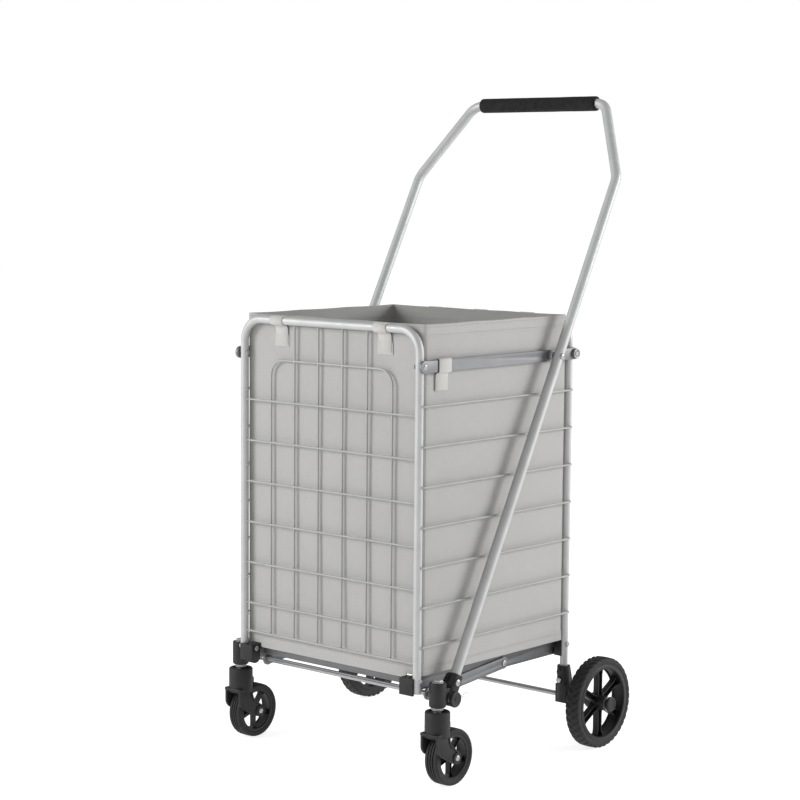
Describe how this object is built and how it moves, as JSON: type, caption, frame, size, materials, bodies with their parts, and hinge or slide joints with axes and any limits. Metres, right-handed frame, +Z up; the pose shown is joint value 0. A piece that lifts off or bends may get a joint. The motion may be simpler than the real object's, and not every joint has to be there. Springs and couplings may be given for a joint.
{
  "type": "rolling basket trolley",
  "caption": "Folding wire basket trolley with cloth liner, leaning push handle, swivelling front casters and large rear wheels.",
  "frame": {"origin": "centre of the footprint box on the floor the wheels stand on", "axes": "+Z up, -Y towards the front wire panel, +Y towards the person pushing, +X to the trolley's right side seen from the front"},
  "size_m": [0.542, 0.5326, 1.0338],
  "materials": {
    "tube_paint": "satin silver powder coat on round steel tube",
    "wire_paint": "satin grey powder coat on steel wire",
    "flat_steel": "zinc plated flat steel",
    "hardware": "zinc plated bolts, rivets, rods and pins",
    "dark_hardware": "dark plated knob nuts",
    "black_plastic": "fine grained black moulding",
    "wheel_plastic": "smooth black moulding",
    "tyre_rubber": "matt dark grey rubber tread",
    "grip_foam": "closed cell black foam sleeve",
    "liner_cloth": "light warm grey plain weave cloth with sewn hems"
  },
  "bodies": {
    "rear_frame": {"rear_frame_tube": "tube_paint", "rear_mesh": "wire_paint", "rear_knuckle_left": "black_plastic", "rear_knuckle_right": "black_plastic", "rear_pins": "hardware", "wheel_bracket_left": "black_plastic", "wheel_bracket_right": "black_plastic", "bracket_bolts": "hardware", "rear_axle": "hardware", "axle_spacers": "black_plastic", "hub_cap_left": "black_plastic", "hub_cap_right": "black_plastic", "liner": "liner_cloth", "liner_straps": "liner_cloth"},
    "base_panel": {"base_rail_left": "flat_steel", "base_rail_right": "flat_steel", "base_cross_bars": "flat_steel", "base_slats": "flat_steel"},
    "front_frame": {"front_frame_tube": "tube_paint", "front_mesh": "wire_paint", "front_knuckle_left": "black_plastic", "front_knuckle_right": "black_plastic", "front_pins": "hardware"},
    "side_bars": {"side_bar_left": "flat_steel", "side_bar_right": "flat_steel", "bar_rivets": "hardware", "bar_knobs": "dark_hardware", "pivot_bolts": "hardware"},
    "handle": {"handle_tube": "tube_paint", "handle_grip": "grip_foam", "caster_bracket_left": "black_plastic", "caster_bracket_right": "black_plastic", "clamp_bolts": "hardware", "front_cross_rod": "hardware", "rod_caps": "black_plastic", "cotter_pins": "hardware", "caster_stems": "hardware"},
    "links": {"link_left": "flat_steel", "link_right": "flat_steel", "link_rivets": "hardware"},
    "side_wire_1": {"side_wires_1": "wire_paint"},
    "side_wire_2": {"side_wires_2": "wire_paint"},
    "side_wire_3": {"side_wires_3": "wire_paint"},
    "side_wire_4": {"side_wires_4": "wire_paint"},
    "side_wire_5": {"side_wires_5": "wire_paint"},
    "side_wire_6": {"side_wires_6": "wire_paint"},
    "side_wire_7": {"side_wires_7": "wire_paint"},
    "caster_left": {"caster_fork_left": "black_plastic", "caster_axle_left": "hardware"},
    "caster_wheel_left": {"caster_tyre_left": "tyre_rubber", "caster_rim_left": "wheel_plastic"},
    "rear_wheel_left": {"rear_tyre_left": "tyre_rubber", "rear_rim_left": "wheel_plastic"},
    "caster_right": {"caster_fork_right": "black_plastic", "caster_axle_right": "hardware"},
    "caster_wheel_right": {"caster_tyre_right": "tyre_rubber", "caster_rim_right": "wheel_plastic"},
    "rear_wheel_right": {"rear_tyre_right": "tyre_rubber", "rear_rim_right": "wheel_plastic"}
  },
  "joints": [
    {"name": "fold", "type": "hinge", "parent": "rear_frame", "child": "base_panel", "pos_m": [0, 0.10573, 0.158], "axis": [-1, 0, 0], "range_deg": [0, 76], "deforming": ["liner", "liner_straps"]},
    {"name": "bar_fold", "type": "hinge", "parent": "rear_frame", "child": "side_bars", "pos_m": [0, 0.10573, 0.625], "axis": [-1, 0, 0], "range_deg": [0, 76]},
    {"name": "wire_fold_1", "type": "hinge", "parent": "rear_frame", "child": "side_wire_1", "pos_m": [0, 0.10573, 0.5672], "axis": [-1, 0, 0], "range_deg": [0, 76]},
    {"name": "wire_fold_2", "type": "hinge", "parent": "rear_frame", "child": "side_wire_2", "pos_m": [0, 0.10573, 0.50775], "axis": [-1, 0, 0], "range_deg": [0, 76]},
    {"name": "wire_fold_3", "type": "hinge", "parent": "rear_frame", "child": "side_wire_3", "pos_m": [0, 0.10573, 0.4483], "axis": [-1, 0, 0], "range_deg": [0, 76]},
    {"name": "wire_fold_4", "type": "hinge", "parent": "rear_frame", "child": "side_wire_4", "pos_m": [0, 0.10573, 0.38885], "axis": [-1, 0, 0], "range_deg": [0, 76]},
    {"name": "wire_fold_5", "type": "hinge", "parent": "rear_frame", "child": "side_wire_5", "pos_m": [0, 0.10573, 0.3294], "axis": [-1, 0, 0], "range_deg": [0, 76]},
    {"name": "wire_fold_6", "type": "hinge", "parent": "rear_frame", "child": "side_wire_6", "pos_m": [0, 0.10573, 0.26995], "axis": [-1, 0, 0], "range_deg": [0, 76]},
    {"name": "wire_fold_7", "type": "hinge", "parent": "rear_frame", "child": "side_wire_7", "pos_m": [0, 0.10573, 0.2105], "axis": [-1, 0, 0], "range_deg": [0, 76]},
    {"name": "front_fold", "type": "hinge", "parent": "base_panel", "child": "front_frame", "pos_m": [0, -0.25627, 0.158], "axis": [1, 0, 0], "range_deg": [0, 76]},
    {"name": "handle_fold", "type": "hinge", "parent": "side_bars", "child": "handle", "pos_m": [0, 0.04434, 0.625], "axis": [1, 0, 0], "range_deg": [0, 91]},
    {"name": "link_fold", "type": "hinge", "parent": "handle", "child": "links", "pos_m": [0, -0.21627, 0.132], "axis": [1, 0, 0], "range_deg": [0, 38]},
    {"name": "caster_swivel_left", "type": "hinge", "parent": "handle", "child": "caster_left", "pos_m": [-0.206, -0.23927, 0.101], "axis": [0, 0, 1], "continuous": true},
    {"name": "caster_spin_left", "type": "hinge", "parent": "caster_left", "child": "caster_wheel_left", "pos_m": [-0.206, -0.21227, 0.043], "axis": [1, 0, 0], "continuous": true},
    {"name": "caster_swivel_right", "type": "hinge", "parent": "handle", "child": "caster_right", "pos_m": [0.206, -0.23927, 0.101], "axis": [0, 0, 1], "continuous": true},
    {"name": "caster_spin_right", "type": "hinge", "parent": "caster_right", "child": "caster_wheel_right", "pos_m": [0.206, -0.21227, 0.043], "axis": [1, 0, 0], "continuous": true},
    {"name": "rear_spin_left", "type": "hinge", "parent": "rear_frame", "child": "rear_wheel_left", "pos_m": [-0.2438, 0.11223, 0.0722], "axis": [1, 0, 0], "continuous": true},
    {"name": "rear_spin_right", "type": "hinge", "parent": "rear_frame", "child": "rear_wheel_right", "pos_m": [0.2438, 0.11223, 0.0722], "axis": [1, 0, 0], "continuous": true}
  ],
  "couplings": [
    {"joint": "bar_fold", "follows": "fold", "ratio": 1},
    {"joint": "wire_fold_1", "follows": "fold", "ratio": 1},
    {"joint": "wire_fold_2", "follows": "fold", "ratio": 1},
    {"joint": "wire_fold_3", "follows": "fold", "ratio": 1},
    {"joint": "wire_fold_4", "follows": "fold", "ratio": 1},
    {"joint": "wire_fold_5", "follows": "fold", "ratio": 1},
    {"joint": "wire_fold_6", "follows": "fold", "ratio": 1},
    {"joint": "wire_fold_7", "follows": "fold", "ratio": 1},
    {"joint": "front_fold", "follows": "fold", "ratio": 1},
    {"joint": "handle_fold", "follows": "fold", "ratio": 1.1941},
    {"joint": "link_fold", "follows": "fold", "ratio": 0.4901}
  ]
}
